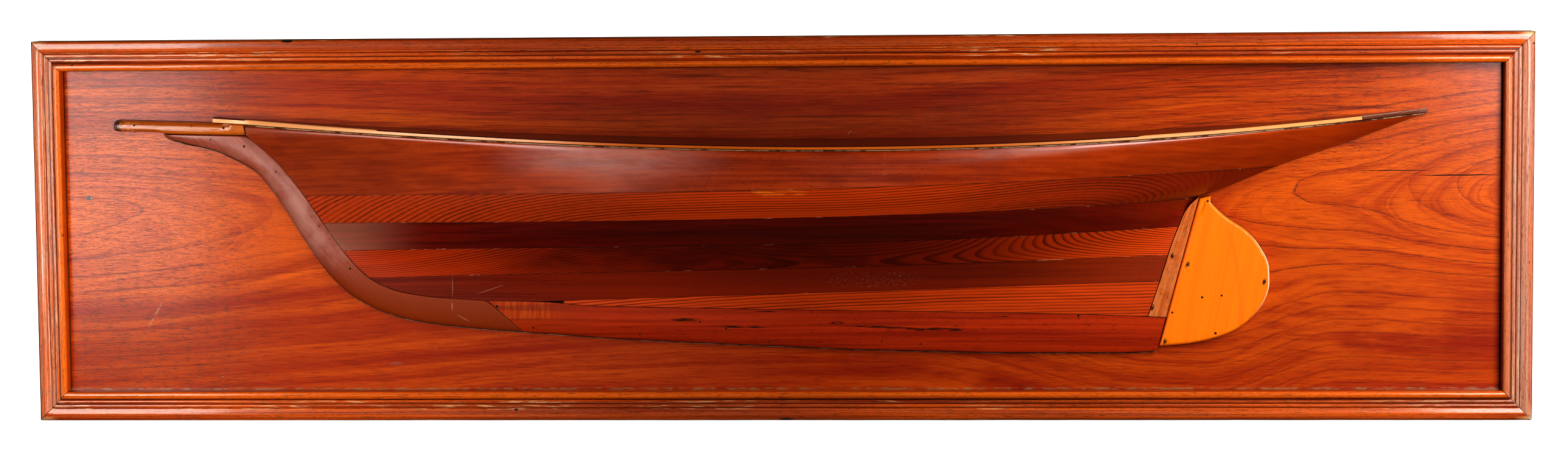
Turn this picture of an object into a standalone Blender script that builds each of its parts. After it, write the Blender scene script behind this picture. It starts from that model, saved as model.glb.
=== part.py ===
"""Framed half hull model of a clipper-bowed yacht, in metres, +Z up.

Six planed lifts make half of the hull. They lie with their flat sides on a mahogany
backboard, between a stem, a keel and a sternpost, under a thin rail plank. Four mitred
mouldings frame the board. The front faces -Y, the wall is the plane Y = 0, the bow is
at -X, and the origin is the middle of the back.
"""
import bpy
import bmesh
from math import cos, pi, radians, sin, sqrt, tan

# Frame and backboard
FRAME_LENGTH = 1.200
FRAME_HEIGHT = 0.308
MOULDING_WIDTH = 0.0240
BOARD_THICKNESS = 0.018
REBATE_WIDTH = 0.0070
GAP = 0.0003                      # between any two pieces that touch

# Moulding section, from its outer edge inwards
OUTER_SIDE_DEPTH = 0.0245
OUTER_ARRIS = 0.0033
OUTER_MEMBER = 0.0105
OUTER_MEMBER_DEPTH = 0.0286
OUTER_MEMBER_FALL = 0.0005        # the flat of the outer member tilts inwards
QUIRK_DEPTH = 0.0264
QUIRK_WIDTH = 0.0002
REED_RADIUS = 0.0014
REED_COUNT = 2
BEAD_RADIUS = 0.0034
BEAD_DEPTH = 0.0318

# Hull: heights are above the middle of the board, places along the hull are X
SHEER_LOW = 0.0688                # top of the hull at its lowest place
SHEER_LOW_X = 0.030
SHEER_BOW_RISE = 0.0172
SHEER_BOW_POWER = 1.66
SHEER_STERN_RISE = 0.0216
SHEER_STERN_POWER = 2.25
BOW_X = -0.4256
STERN_X = 0.5166
LIFT_HEIGHT = 0.0226
LIFT_RISE = tan(radians(1.45))    # the lifts rise towards the stern
FIRST_SEAM = 0.0383               # height of the uppermost seam at X = 0
LOWEST_SEAM = -0.0513             # the seam between the two lowest lifts
LOWEST_SEAM_RISE = tan(radians(1.74))
FIFTH_LIFT_BLUNT_TIP = 0.0022
SIXTH_LIFT_START = -0.1700
FIN_THICKNESS = 0.0100            # stem, keel and sternpost, square to the board
COUNTER_EDGE = 0.0012
STERN_EDGE = 0.0040

# Shape of the hull by level: height, widest half breadth, entry and run powers.
# A power over 1 hollows that end of the waterline, under 1 fills it.
HULL_LEVELS = (
    (0.100, 0.1000, 0.92, 0.84),
    (0.071, 0.1020, 0.98, 0.84),
    (0.038, 0.1045, 1.08, 0.84),
    (0.015, 0.0965, 1.06, 0.62),
    (-0.008, 0.0700, 1.50, 1.10),
    (-0.030, 0.0315, 2.05, 1.45),
    (-0.052, 0.0132, 2.10, 1.50),
    (-0.080, 0.0100, 2.10, 1.50),
)
WIDEST_X = 0.080

# Outlines of the fin, as (X, Z), from the top of the stem to the heel
RABBET = (
    (-0.4268, 0.0905), (-0.4254, 0.0770), (-0.4168, 0.0706), (-0.4030, 0.0583),
    (-0.3820, 0.0327), (-0.3637, 0.0061), (-0.3454, -0.0195), (-0.3245, -0.0397),
    (-0.3009, -0.0494), (-0.2724, -0.0536), (-0.2320, -0.0562),
)
CUTWATER = (
    (-0.4936, 0.0785), (-0.4914, 0.0760), (-0.4525, 0.0655), (-0.4202, 0.0490),
    (-0.4010, 0.0262), (-0.3806, -0.0064), (-0.3570, -0.0394), (-0.3340, -0.0577),
    (-0.2977, -0.0714), (-0.2430, -0.0788), (-0.2035, -0.0820),
)
KEEL_TOP = (
    (-0.2320, -0.0562), (-0.1830, -0.0578), (-0.1500, -0.0606), (0.0000, -0.0640),
    (0.1300, -0.0662), (0.2450, -0.0686), (0.3105, -0.0711),
)
KEEL_BOTTOM = (
    (-0.2035, -0.0820), (-0.1090, -0.0886), (-0.0150, -0.0929), (0.0890, -0.0971),
    (0.2000, -0.0993), (0.2745, -0.0994), (0.3036, -0.0982),
)
POST_FORE_EDGE = (
    (0.2966, -0.0701), (0.3055, -0.0440), (0.3163, -0.0100), (0.3221, 0.0046),
    (0.3270, 0.0160), (0.3362, 0.0244),
)
COUNTER = (
    (0.3520, 0.0292), (0.3888, 0.0443), (0.4165, 0.0546), (0.4495, 0.0655),
    (0.4850, 0.0785), (STERN_X, 0.0905),
)
# Section of the stem and keel: share of the way to the outer edge, fall of the face
FIN_SECTION = ((0.0, 0.0), (0.40, 0.0), (0.78, 0.0011), (0.93, 0.0022), (1.0, 0.0038))
RUDDER_LINE_TOP = (0.3371, 0.0250)
RUDDER_LINE_HEEL = (0.3048, -0.0944)
POST_EDGE_RADIUS = 0.0003
RUDDER_GAP = 0.0009
RUDDER_SHOULDER = 0.0232          # height where the rudder's top starts to round over
RUDDER_THICKNESS = 0.0080
RUDDER_EDGE_RADIUS = 0.0018
RUDDER_TRAILING = (
    (0.3468, 0.0256), (0.3464, 0.0208), (0.3505, 0.0159), (0.3600, 0.0075),
    (0.3752, -0.0026), (0.3860, -0.0160), (0.3926, -0.0310), (0.3930, -0.0450),
    (0.3885, -0.0593), (0.3800, -0.0707), (0.3660, -0.0818), (0.3468, -0.0889),
    (0.3280, -0.0928),
)

# Rail plank and bowsprit
RAIL_THICKNESS = 0.0030
RAIL_BOW_EXTRA = 0.0009
RAIL_OVERHANG = 0.0006
RAIL_EASE = 0.0004
RAIL_FORE_X = -0.4520
RAIL_JOINT_X = 0.4637
BOWSPRIT_TIP_X = -0.5334
BOWSPRIT_TIP_EASE = 0.0012
BOWSPRIT_STEP = (-0.4950, -0.4938)    # the underside steps down on to the stem head
BOWSPRIT_HEEL_X = -0.4276
BOWSPRIT_HEEL_SLANT = 0.0014
BOWSPRIT_TOP = ((BOWSPRIT_TIP_X, 0.0902), (-0.4422, 0.0870), (BOWSPRIT_HEEL_X, 0.0860))
BOWSPRIT_UNDERSIDE = (
    (BOWSPRIT_TIP_X, 0.0811), (BOWSPRIT_STEP[0], 0.0803), (BOWSPRIT_STEP[1], 0.0790),
    (-0.4250, 0.0773),
)
BOWSPRIT_CHAMFER = 0.0032
BOWSPRIT_LOWER_EASE = 0.0010
BOWSPRIT_CHAMFER_END_X = -0.4440
BOWSPRIT_RUN_OUT = 0.0060
BOWSPRIT_HEEL_CHAMFER = 0.12      # what is left of the chamfer behind its run-out

# Mesh fineness
LIFT_COLUMNS = 56
TOP_LIFT_ROWS = 7
LIFT_ROWS = 4
FIN_STATIONS = 44
RAIL_STATIONS = 72
STERN_RAIL_STATIONS = 12

BOARD_FACE = -BOARD_THICKNESS
HULL_BACK = BOARD_FACE - GAP

for old in list(bpy.data.objects):
    bpy.data.objects.remove(old, do_unlink=True)
parts = bpy.data.collections.new("half_hull_model")
bpy.context.scene.collection.children.link(parts)


def wood(name, colour, roughness):
    """A plain varnished wood."""
    material = bpy.data.materials.new(name)
    material.use_nodes = True
    shader = material.node_tree.nodes["Principled BSDF"]
    shader.inputs["Base Color"].default_value = (*colour, 1.0)
    shader.inputs["Roughness"].default_value = roughness
    shader.inputs["Metallic"].default_value = 0.0
    return material


def add_part(name, bm, material, sharp_angle=35):
    """Turn a bmesh into one named part, smooth with sharp corners."""
    bmesh.ops.recalc_face_normals(bm, faces=bm.faces)
    mesh = bpy.data.meshes.new(name)
    bm.to_mesh(mesh)
    bm.free()
    mesh.shade_smooth()
    mesh.set_sharp_from_angle(angle=radians(sharp_angle))
    mesh.materials.append(material)
    part = bpy.data.objects.new(name, mesh)
    parts.objects.link(part)
    return part


def fair(stations, place):
    """Smooth curve through (place, value) stations that never overshoots them."""
    stations = sorted(stations)
    last = len(stations) - 1
    if place <= stations[0][0]:
        return stations[0][1]
    if place >= stations[last][0]:
        return stations[last][1]
    slopes = [(b[1] - a[1]) / (b[0] - a[0]) for a, b in zip(stations, stations[1:])]

    def tangent(k):
        if k == 0 or k == last:
            return slopes[0] if k == 0 else slopes[-1]
        before, after = slopes[k - 1], slopes[k]
        if before * after <= 0.0:
            return 0.0
        return 2.0 * before * after / (before + after)

    k = max(i for i in range(last) if stations[i][0] <= place)
    width = stations[k + 1][0] - stations[k][0]
    t = (place - stations[k][0]) / width
    start, end = stations[k][1], stations[k + 1][1]
    return (start * (1 + 2 * t) * (1 - t) ** 2 + width * tangent(k) * t * (1 - t) ** 2
            + end * t * t * (3 - 2 * t) + width * tangent(k + 1) * t * t * (t - 1))


def evenly(count):
    return [i / (count - 1) for i in range(count)]


def fair_outline(points, fractions):
    """Points at these fractions of the length of a smooth curve through the given ones."""
    lengths = [0.0]
    for a, b in zip(points, points[1:]):
        lengths.append(lengths[-1] + sqrt((b[0] - a[0]) ** 2 + (b[1] - a[1]) ** 2))
    across = [(s, p[0]) for s, p in zip(lengths, points)]
    upward = [(s, p[1]) for s, p in zip(lengths, points)]
    return [(fair(across, lengths[-1] * t), fair(upward, lengths[-1] * t)) for t in fractions]


def flat_backed_solid(name, grid, material, back=HULL_BACK):
    """Closed piece from a grid of points on its front, with a flat back on the board.

    grid[i][j] runs along the piece with i and across it with j.
    """
    bm = bmesh.new()
    front = [[bm.verts.new(p) for p in column] for column in grid]
    columns, rows = len(grid) - 1, len(grid[0]) - 1
    rear = []
    for i, column in enumerate(grid):
        kept = range(rows + 1) if i in (0, columns) else (0, rows)
        rear.append({j: bm.verts.new((column[j][0], back, column[j][2])) for j in kept})
    for i in range(columns):
        for j in range(rows):
            bm.faces.new((front[i][j], front[i + 1][j], front[i + 1][j + 1], front[i][j + 1]))
        for j in (0, rows):
            bm.faces.new((front[i][j], front[i + 1][j], rear[i + 1][j], rear[i][j]))
        left = [rear[i][j] for j in sorted(rear[i])] if i == 0 else [rear[i][0], rear[i][rows]]
        right = [rear[i + 1][0], rear[i + 1][rows]]
        if i == columns - 1:
            right = [rear[i + 1][j] for j in sorted(rear[i + 1])]
        bm.faces.new(left + right[::-1])
    for i in (0, columns):
        for j in range(rows):
            bm.faces.new((front[i][j], front[i][j + 1], rear[i][j + 1], rear[i][j]))
    return add_part(name, bm, material)


def toward_ends(count):
    """Fractions from 0 to 1 that crowd together at both ends."""
    return [0.5 - 0.5 * cos(pi * i / count) for i in range(count + 1)]


# Frame: four lengths of one moulding, mitred at the corners

def moulding_section():
    """Outline of the moulding as (inward, outward from the wall) points."""
    points = [(0.0, 0.0), (0.0, OUTER_SIDE_DEPTH)]
    for k in range(1, 6):
        turn = pi / 2 * k / 5
        points.append((OUTER_ARRIS * (1 - cos(turn)),
                       OUTER_SIDE_DEPTH + OUTER_ARRIS * sin(turn)))
    points.append((OUTER_MEMBER * 2 / 3, OUTER_MEMBER_DEPTH))
    points.append((OUTER_MEMBER, OUTER_MEMBER_DEPTH - OUTER_MEMBER_FALL))
    place = OUTER_MEMBER + QUIRK_WIDTH
    for _ in range(REED_COUNT):
        for k in range(0, 6):
            turn = pi * k / 5
            points.append((place + REED_RADIUS * (1 - cos(turn)),
                           QUIRK_DEPTH + REED_RADIUS * sin(turn)))
        place += 2 * REED_RADIUS + QUIRK_WIDTH
    centre = MOULDING_WIDTH - BEAD_RADIUS
    for k in range(0, 10):
        turn = pi * k / 9
        points.append((centre - BEAD_RADIUS * cos(turn),
                       BEAD_DEPTH - BEAD_RADIUS * (1 - sin(turn))))
    points.append((MOULDING_WIDTH, BOARD_THICKNESS + GAP))
    points.append((MOULDING_WIDTH - REBATE_WIDTH, BOARD_THICKNESS + GAP))
    points.append((MOULDING_WIDTH - REBATE_WIDTH, 0.0))
    return points


def moulding(name, length, material):
    """One length lying along X, outer edge at Z = 0, cut at 45 degrees at both ends."""
    bm = bmesh.new()
    section = [bm.verts.new((0.0, -out, -inward)) for inward, out in moulding_section()]
    extruded = bmesh.ops.extrude_face_region(bm, geom=[bm.faces.new(section)])
    far_end = [v for v in extruded["geom"] if isinstance(v, bmesh.types.BMVert)]
    half = length / 2 - GAP / sqrt(2)
    for side, verts in ((-1, section), (1, far_end)):
        for v in verts:
            v.co.x = side * (half + v.co.z)
    return add_part(name, bm, material, 28)


frame_wood = wood("frame_mahogany", (0.46, 0.13, 0.035), 0.32)
frame_places = {
    "frame_top": (FRAME_LENGTH, (0.0, 0.0, FRAME_HEIGHT / 2), 0.0),
    "frame_bottom": (FRAME_LENGTH, (0.0, 0.0, -FRAME_HEIGHT / 2), pi),
    "frame_left": (FRAME_HEIGHT, (-FRAME_LENGTH / 2, 0.0, 0.0), -pi / 2),
    "frame_right": (FRAME_HEIGHT, (FRAME_LENGTH / 2, 0.0, 0.0), pi / 2),
}
for frame_name, (length, place, turn) in frame_places.items():
    frame_part = moulding(frame_name, length, frame_wood)
    frame_part.location = place
    frame_part.rotation_euler = (0.0, turn, 0.0)


# Backboard: one plank in the rebate of the frame

board_margin = 2 * (MOULDING_WIDTH - REBATE_WIDTH + GAP)
board_bm = bmesh.new()
bmesh.ops.create_cube(board_bm, size=1.0)
bmesh.ops.scale(board_bm, verts=board_bm.verts, vec=(
    FRAME_LENGTH - board_margin, BOARD_THICKNESS, FRAME_HEIGHT - board_margin))
bmesh.ops.translate(board_bm, verts=board_bm.verts, vec=(0.0, BOARD_FACE / 2, 0.0))
add_part("backboard", board_bm, wood("backboard_mahogany", (0.42, 0.10, 0.03), 0.30))


# Hull surface: the half breadth at any place along the hull and any height

def sheer(x):
    """Height of the hull's upper edge."""
    if x < SHEER_LOW_X:
        reach = (SHEER_LOW_X - x) / (SHEER_LOW_X - BOW_X)
        return SHEER_LOW + SHEER_BOW_RISE * reach ** SHEER_BOW_POWER
    reach = (x - SHEER_LOW_X) / (STERN_X - SHEER_LOW_X)
    return SHEER_LOW + SHEER_STERN_RISE * reach ** SHEER_STERN_POWER


def level(x, z):
    """Height above the first lift plane through the origin, which rises aft."""
    return z - LIFT_RISE * x


fore_ends = [(level(x, z), x) for x, z in RABBET]
aft_ends = [(level(x, z), x) for x, z in POST_FORE_EDGE + COUNTER]


def aft_thickness(height):
    """Thickness of the hull at its aft edge: fin below, thin counter above."""
    return fair(((0.004, FIN_THICKNESS), (0.019, COUNTER_EDGE), (0.070, COUNTER_EDGE),
                 (0.080, STERN_EDGE)), height)


def half_breadth(x, z):
    """How far the hull stands out from the board."""
    height = level(x, z)
    widest = fair([(row[0], row[1]) for row in HULL_LEVELS], height)
    if x < WIDEST_X:
        bow = fair(fore_ends, height)
        reach = max(0.0, (x - bow) / (WIDEST_X - bow))
        power = fair([(row[0], row[2]) for row in HULL_LEVELS], height)
        end = FIN_THICKNESS
    else:
        stern = fair(aft_ends, height)
        reach = max(0.0, (stern - x) / (stern - WIDEST_X))
        power = fair([(row[0], row[3]) for row in HULL_LEVELS], height)
        end = aft_thickness(height)
    return end + (widest - end) * sin(pi / 2 * min(1.0, reach)) ** power


def hull_point(x, z):
    return (x, BOARD_FACE - half_breadth(x, z), z)


# Lifts: planks of equal thickness, shaped to the hull surface

def seam(number):
    """Height of a seam as a function of X; the first seam is the uppermost."""
    height = FIRST_SEAM - (number - 1) * LIFT_HEIGHT
    return lambda x: height + LIFT_RISE * x


def lowest_seam(x):
    return LOWEST_SEAM + LOWEST_SEAM_RISE * x


def meet(row, ends):
    """X where a row of the lift runs into the stem, the sternpost or the counter."""
    x = 0.0
    for _ in range(40):
        x = fair(ends, level(x, row(x)))
    return x


def lift(name, lower, upper, rows, material):
    """One lift between two edges given as heights along X."""
    grid_rows = []
    for share in evenly(rows + 1):

        def row(x, share=share):
            low, high = lower(x) + GAP / 2, upper(x) - GAP / 2
            return low + (high - low) * share

        start = meet(row, fore_ends) + GAP
        end = meet(row, aft_ends) - GAP
        stops = [start + (end - start) * t for t in toward_ends(LIFT_COLUMNS)]
        grid_rows.append([hull_point(x, row(x)) for x in stops])
    grid = [[grid_rows[j][i] for j in range(rows + 1)] for i in range(LIFT_COLUMNS + 1)]
    return flat_backed_solid(name, grid, material)


def fin_lift(name, lower, upper, start, material):
    """A lift of the fin, whose lower edge runs along the keel."""
    grid = []
    low_end, high_end = post_end(lower), post_end(upper)
    for t in toward_ends(LIFT_COLUMNS):
        column = []
        for share in evenly(LIFT_ROWS + 1):
            end = low_end + (high_end - low_end) * share
            x = start + (end - start) * t
            low, high = lower(x) + GAP / 2, upper(x) - GAP / 2
            column.append(hull_point(x, low + (high - low) * share))
        grid.append(column)
    return flat_backed_solid(name, grid, material)


def post_end(edge):
    return meet(edge, aft_ends) - GAP


def fin_edge(x):
    """Top of the stem and keel along the fin, where the lowest lifts stand."""
    return fair(RABBET[6:] + KEEL_TOP[1:], x) + GAP / 2


def lower_edge_of_fifth(x):
    return max(fin_edge(x), lowest_seam(x))


mahogany = wood("lift_mahogany", (0.36, 0.075, 0.025), 0.28)
dark_mahogany = wood("lift_dark_mahogany", (0.17, 0.030, 0.014), 0.26)
pine = wood("lift_pitch_pine", (0.52, 0.14, 0.035), 0.30)

lift("lift_1", seam(1), sheer, TOP_LIFT_ROWS, mahogany)
lift("lift_2", seam(2), seam(1), LIFT_ROWS, pine)
lift("lift_3", seam(3), seam(2), LIFT_ROWS, dark_mahogany)
lift("lift_4", seam(4), seam(3), LIFT_ROWS, pine)
fifth_start = meet(seam(4), fore_ends) + FIFTH_LIFT_BLUNT_TIP
fin_lift("lift_5", lower_edge_of_fifth, seam(4), fifth_start, mahogany)
fin_lift("lift_6", fin_edge, lowest_seam, SIXTH_LIFT_START, pine)


# Stem and keel: the fin's edge, thinner towards the water

def fin_piece(name, inner, outer, material):
    """A piece between two outlines; its face falls away towards the outer one."""
    grid = []
    for (ix, iz), (ox, oz) in zip(inner, outer):
        grid.append([(ix + (ox - ix) * share, BOARD_FACE - FIN_THICKNESS + drop,
                      iz + (oz - iz) * share) for share, drop in FIN_SECTION])
    return flat_backed_solid(name, grid, material)


stem_stops = [0.0, 0.010] + [0.022 + 0.978 * t for t in evenly(FIN_STATIONS)]    # fine at the head
fin_piece("stem", fair_outline(RABBET[1:], stem_stops), fair_outline(CUTWATER, stem_stops),
          wood("stem_wood", (0.33, 0.11, 0.06), 0.38))

keel_inner = [(x + GAP, z) for x, z in fair_outline(KEEL_TOP, evenly(FIN_STATIONS))]
keel_outer = [(x + GAP, z) for x, z in fair_outline(KEEL_BOTTOM, evenly(FIN_STATIONS))]
fin_piece("keel", keel_inner, keel_outer, wood("keel_mahogany", (0.45, 0.10, 0.03), 0.30))


# Sternpost and rudder: flat pieces that meet along one raking line

def rudder_line(z, offset=0.0):
    """X of the raking line between sternpost and rudder at a height."""
    top, heel = RUDDER_LINE_TOP, RUDDER_LINE_HEEL
    return heel[0] + (top[0] - heel[0]) * (z - heel[1]) / (top[1] - heel[1]) + offset


def flat_piece(name, outline, thickness, edge_radius, material):
    """A plank cut to an outline, with its front corners eased."""
    bm = bmesh.new()
    face = bm.faces.new([bm.verts.new((x, HULL_BACK, z)) for x, z in outline])
    extruded = bmesh.ops.extrude_face_region(bm, geom=[face])
    moved = [v for v in extruded["geom"] if isinstance(v, bmesh.types.BMVert)]
    bmesh.ops.translate(bm, verts=moved, vec=(0.0, -thickness, 0.0))
    front = [f for f in extruded["geom"] if isinstance(f, bmesh.types.BMFace)]
    rim = list({edge for f in front for edge in f.edges})
    bmesh.ops.bevel(bm, geom=rim, offset=edge_radius, segments=2, profile=0.5,
                    affect="EDGES")
    return add_part(name, bm, material, 50)


post_outline = [(x + GAP, z) for x, z in fair_outline(POST_FORE_EDGE, evenly(14))]
post_foot_x = rudder_line(POST_FORE_EDGE[0][1])
post_outline.append((rudder_line(POST_FORE_EDGE[-1][1]), POST_FORE_EDGE[-1][1]))
post_outline.append((post_foot_x, fair(KEEL_TOP, post_foot_x) + GAP))
flat_piece("sternpost", post_outline, FIN_THICKNESS, POST_EDGE_RADIUS,
           wood("sternpost_wood", (0.60, 0.20, 0.045), 0.30))

rudder_outline = [(rudder_line(z, RUDDER_GAP), z)
                  for z in (RUDDER_LINE_HEEL[1], RUDDER_SHOULDER)]
rudder_outline += fair_outline(RUDDER_TRAILING, evenly(34))
flat_piece("rudder", rudder_outline, RUDDER_THICKNESS, RUDDER_EDGE_RADIUS,
           wood("rudder_wood", (0.72, 0.27, 0.04), 0.26))


# Rail plank: lies on the upper lift and stands a little proud of the hull

def rail_thickness(x):
    reach = max(0.0, (SHEER_LOW_X - x) / (SHEER_LOW_X - BOW_X))
    return RAIL_THICKNESS + RAIL_BOW_EXTRA * reach ** 4


def rail(name, start, end, stations, material):
    grid = []
    for i in range(stations + 1):
        x = start + (end - start) * i / stations
        low = sheer(x) + GAP
        high = low + rail_thickness(x)
        out = half_breadth(max(x, BOW_X), sheer(max(x, BOW_X))) + RAIL_OVERHANG
        grid.append([(x, BOARD_FACE - out + RAIL_EASE, low),
                     (x, BOARD_FACE - out, low + RAIL_EASE),
                     (x, BOARD_FACE - out, high - 2 * RAIL_EASE),
                     (x, BOARD_FACE - out + 2 * RAIL_EASE, high)])
    return flat_backed_solid(name, grid, material)


rail("rail_plank", RAIL_FORE_X, RAIL_JOINT_X - GAP, RAIL_STATIONS,
     wood("rail_wood", (0.80, 0.38, 0.09), 0.30))
rail("rail_stern_length", RAIL_JOINT_X, STERN_X, STERN_RAIL_STATIONS,
     wood("stern_rail_wood", (0.22, 0.07, 0.03), 0.28))


# Bowsprit: a square spar with its upper edge chamfered up to the heel

def bowsprit_chamfer(x):
    """Width of the chamfer, which ends in a quarter round near the heel."""
    past = min(1.0, max(0.0, (x - BOWSPRIT_CHAMFER_END_X) / BOWSPRIT_RUN_OUT))
    return BOWSPRIT_CHAMFER * max(BOWSPRIT_HEEL_CHAMFER, sqrt(1.0 - past ** 2))


def between(start, end, count):
    return [start + (end - start) * t for t in evenly(count)]


bowsprit_stops = [BOWSPRIT_TIP_X]
bowsprit_stops += between(BOWSPRIT_TIP_X + BOWSPRIT_TIP_EASE, BOWSPRIT_STEP[0], 4)
bowsprit_stops += between(BOWSPRIT_STEP[1], BOWSPRIT_CHAMFER_END_X, 5)
bowsprit_stops += [BOWSPRIT_CHAMFER_END_X + BOWSPRIT_RUN_OUT * sin(pi / 2 * i / 5)
                   for i in range(1, 6)]
bowsprit_stops += [BOWSPRIT_HEEL_X]
bowsprit_grid = []
for x in bowsprit_stops:
    ease = BOWSPRIT_TIP_EASE if x == BOWSPRIT_TIP_X else 0.0
    top, low = fair(BOWSPRIT_TOP, x) - ease, fair(BOWSPRIT_UNDERSIDE, x) + ease
    chamfer = bowsprit_chamfer(x)
    slant = BOWSPRIT_HEEL_SLANT if x == BOWSPRIT_HEEL_X else 0.0
    face = BOARD_FACE - FIN_THICKNESS + ease
    bowsprit_grid.append([
        (x + slant, face + BOWSPRIT_LOWER_EASE, low),
        (x + slant * 0.9, face, low + BOWSPRIT_LOWER_EASE),
        (x + slant * chamfer / (top - low), face, top - chamfer), (x, face + chamfer, top)])
flat_backed_solid("bowsprit", bowsprit_grid, wood("bowsprit_wood", (0.66, 0.24, 0.05), 0.30))
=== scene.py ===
import bpy
import bmesh
from math import cos, pi, radians, sin
from mathutils import Matrix, Vector
from mathutils.bvhtree import BVHTree


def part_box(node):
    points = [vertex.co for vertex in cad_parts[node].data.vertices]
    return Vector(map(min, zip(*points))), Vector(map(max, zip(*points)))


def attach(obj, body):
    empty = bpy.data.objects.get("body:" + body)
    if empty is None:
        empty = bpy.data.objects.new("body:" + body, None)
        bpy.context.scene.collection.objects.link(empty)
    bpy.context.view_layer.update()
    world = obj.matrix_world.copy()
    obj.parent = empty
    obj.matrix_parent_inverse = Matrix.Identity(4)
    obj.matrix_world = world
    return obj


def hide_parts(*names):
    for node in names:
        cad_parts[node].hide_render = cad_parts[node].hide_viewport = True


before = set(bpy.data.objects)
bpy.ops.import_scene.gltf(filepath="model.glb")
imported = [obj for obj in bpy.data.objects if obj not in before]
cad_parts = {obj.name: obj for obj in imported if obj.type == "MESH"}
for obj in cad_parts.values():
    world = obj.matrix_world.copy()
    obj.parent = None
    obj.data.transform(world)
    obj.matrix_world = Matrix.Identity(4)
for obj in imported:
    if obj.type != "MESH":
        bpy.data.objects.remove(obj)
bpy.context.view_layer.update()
scene = bpy.context.scene


# The studio. The plaque hangs in front of a plain white surround, over a pale floor that lies
# out of the picture. Two upright softboxes near its ends make the board's ends shine while its
# middle stays deep; cards beyond the ends catch the edges, and the back has a softbox of its own.
camera_place = Vector((0.175, -2.75, 0.229))
camera_turn = radians(3.52)      # to the left of straight on
camera_tilt = radians(4.74)      # downwards
camera_lean = radians(0.50)
lens_mm = 78.7

ahead = Vector((-sin(camera_turn) * cos(camera_tilt), cos(camera_turn) * cos(camera_tilt),
                -sin(camera_tilt)))
level = Vector((cos(camera_turn), sin(camera_turn), 0.0))
upright = level.cross(ahead)
across_picture = level * cos(camera_lean) - upright * sin(camera_lean)
up_picture = level * sin(camera_lean) + upright * cos(camera_lean)

camera = bpy.data.objects.new("camera", bpy.data.cameras.new("camera"))
camera.data.lens = lens_mm
camera.data.clip_start = 0.1
camera.matrix_world = Matrix.Translation(camera_place) @ Matrix(
    (across_picture, up_picture, -ahead)).transposed().to_4x4()
scene.collection.objects.link(camera)
scene.camera = camera
scene.view_settings.view_transform = "Standard"
scene.view_settings.look = "High Contrast"


def softbox(name, place, aim, width, height, power, spread=100):
    light = bpy.data.lights.new(name, "AREA")
    light.shape = "RECTANGLE"
    light.size, light.size_y, light.energy = width, height, power
    light.spread = radians(spread)
    lamp = bpy.data.objects.new(name, light)
    lamp.location = place
    lamp.rotation_euler = (Vector(aim) - Vector(place)).to_track_quat("-Z", "Y").to_euler()
    lamp.visible_camera = False
    scene.collection.objects.link(lamp)


# Each with its place, what it is turned to, its width, its height and its power.
softbox("left_softbox", (-0.91, -0.95, 0.35), (-0.68, 0.0, 0.08), 0.45, 1.10, 5.0)
softbox("left_fill", (-0.20, -0.95, 0.0), (-0.85, 0.0, -0.02), 0.40, 0.60, 2.9, spread=90)
softbox("middle_fill", (0.05, -1.50, 0.12), (0.05, 0.0, 0.0), 0.40, 0.40, 0.45, spread=60)
softbox("right_softbox", (0.88, -0.95, 0.47), (0.68, 0.0, 0.10), 0.45, 0.95, 5.6)
softbox("left_side_card", (-1.45, -0.42, 0.20), (-0.58, 0.0, 0.0), 0.50, 1.00, 5.0, spread=180)
softbox("right_side_card", (1.45, -0.42, 0.20), (0.58, 0.0, 0.0), 0.50, 1.00, 4.0, spread=180)
softbox("back_softbox", (0.0, 1.30, 0.25), (0.0, 0.0, 0.0), 1.20, 0.50, 5.5)      # for the back alone
for lamp in ("left_softbox", "left_side_card", "right_side_card"):
    bpy.data.objects[lamp].visible_diffuse = False      # these give the shine alone
for lamp in ("left_fill", "middle_fill", "back_softbox"):
    bpy.data.objects[lamp].visible_glossy = False

surround = bpy.data.worlds.new("surround")
surround.use_nodes = True
scene.world = surround
room = surround.node_tree
sky = room.nodes["Background"]
seen = room.nodes.new("ShaderNodeLightPath")
brightness = room.nodes.new("ShaderNodeMapRange")
brightness.inputs["To Min"].default_value = 0.08      # the fill that the room gives
brightness.inputs["To Max"].default_value = 1.0       # the white that the camera sees
room.links.new(seen.outputs["Is Camera Ray"], brightness.inputs["Value"])
room.links.new(brightness.outputs["Result"], sky.inputs["Strength"])
hue = room.nodes.new("ShaderNodeMix")
hue.data_type = "RGBA"
hue.inputs[6].default_value = (1.0, 0.80, 0.58, 1.0)      # the fill is a little warm
hue.inputs[7].default_value = (1.0, 1.0, 1.0, 1.0)
room.links.new(seen.outputs["Is Camera Ray"], hue.inputs["Factor"])
room.links.new(hue.outputs[2], sky.inputs["Color"])

floor_half, floor_drop = 5.0, 1.2
floor_colour, floor_glow = (0.8, 0.79, 0.77, 1.0), 0.6
floor_mesh = bpy.data.meshes.new("floor")
floor_mesh.from_pydata([(-floor_half, -floor_half, -floor_drop), (floor_half, -floor_half, -floor_drop),
                        (floor_half, floor_half, -floor_drop), (-floor_half, floor_half, -floor_drop)],
                       [], [(0, 1, 2, 3)])
floor = bpy.data.objects.new("floor", floor_mesh)
floor_paint = bpy.data.materials.new("pale_floor")
floor_paint.use_nodes = True
for socket, value in (("Base Color", floor_colour), ("Roughness", 0.9), ("Emission Color", floor_colour),
                      ("Emission Strength", floor_glow)):
    floor_paint.node_tree.nodes["Principled BSDF"].inputs[socket].default_value = value
floor_mesh.materials.append(floor_paint)
floor.visible_diffuse = floor.visible_glossy = False
scene.collection.objects.link(floor)


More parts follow.
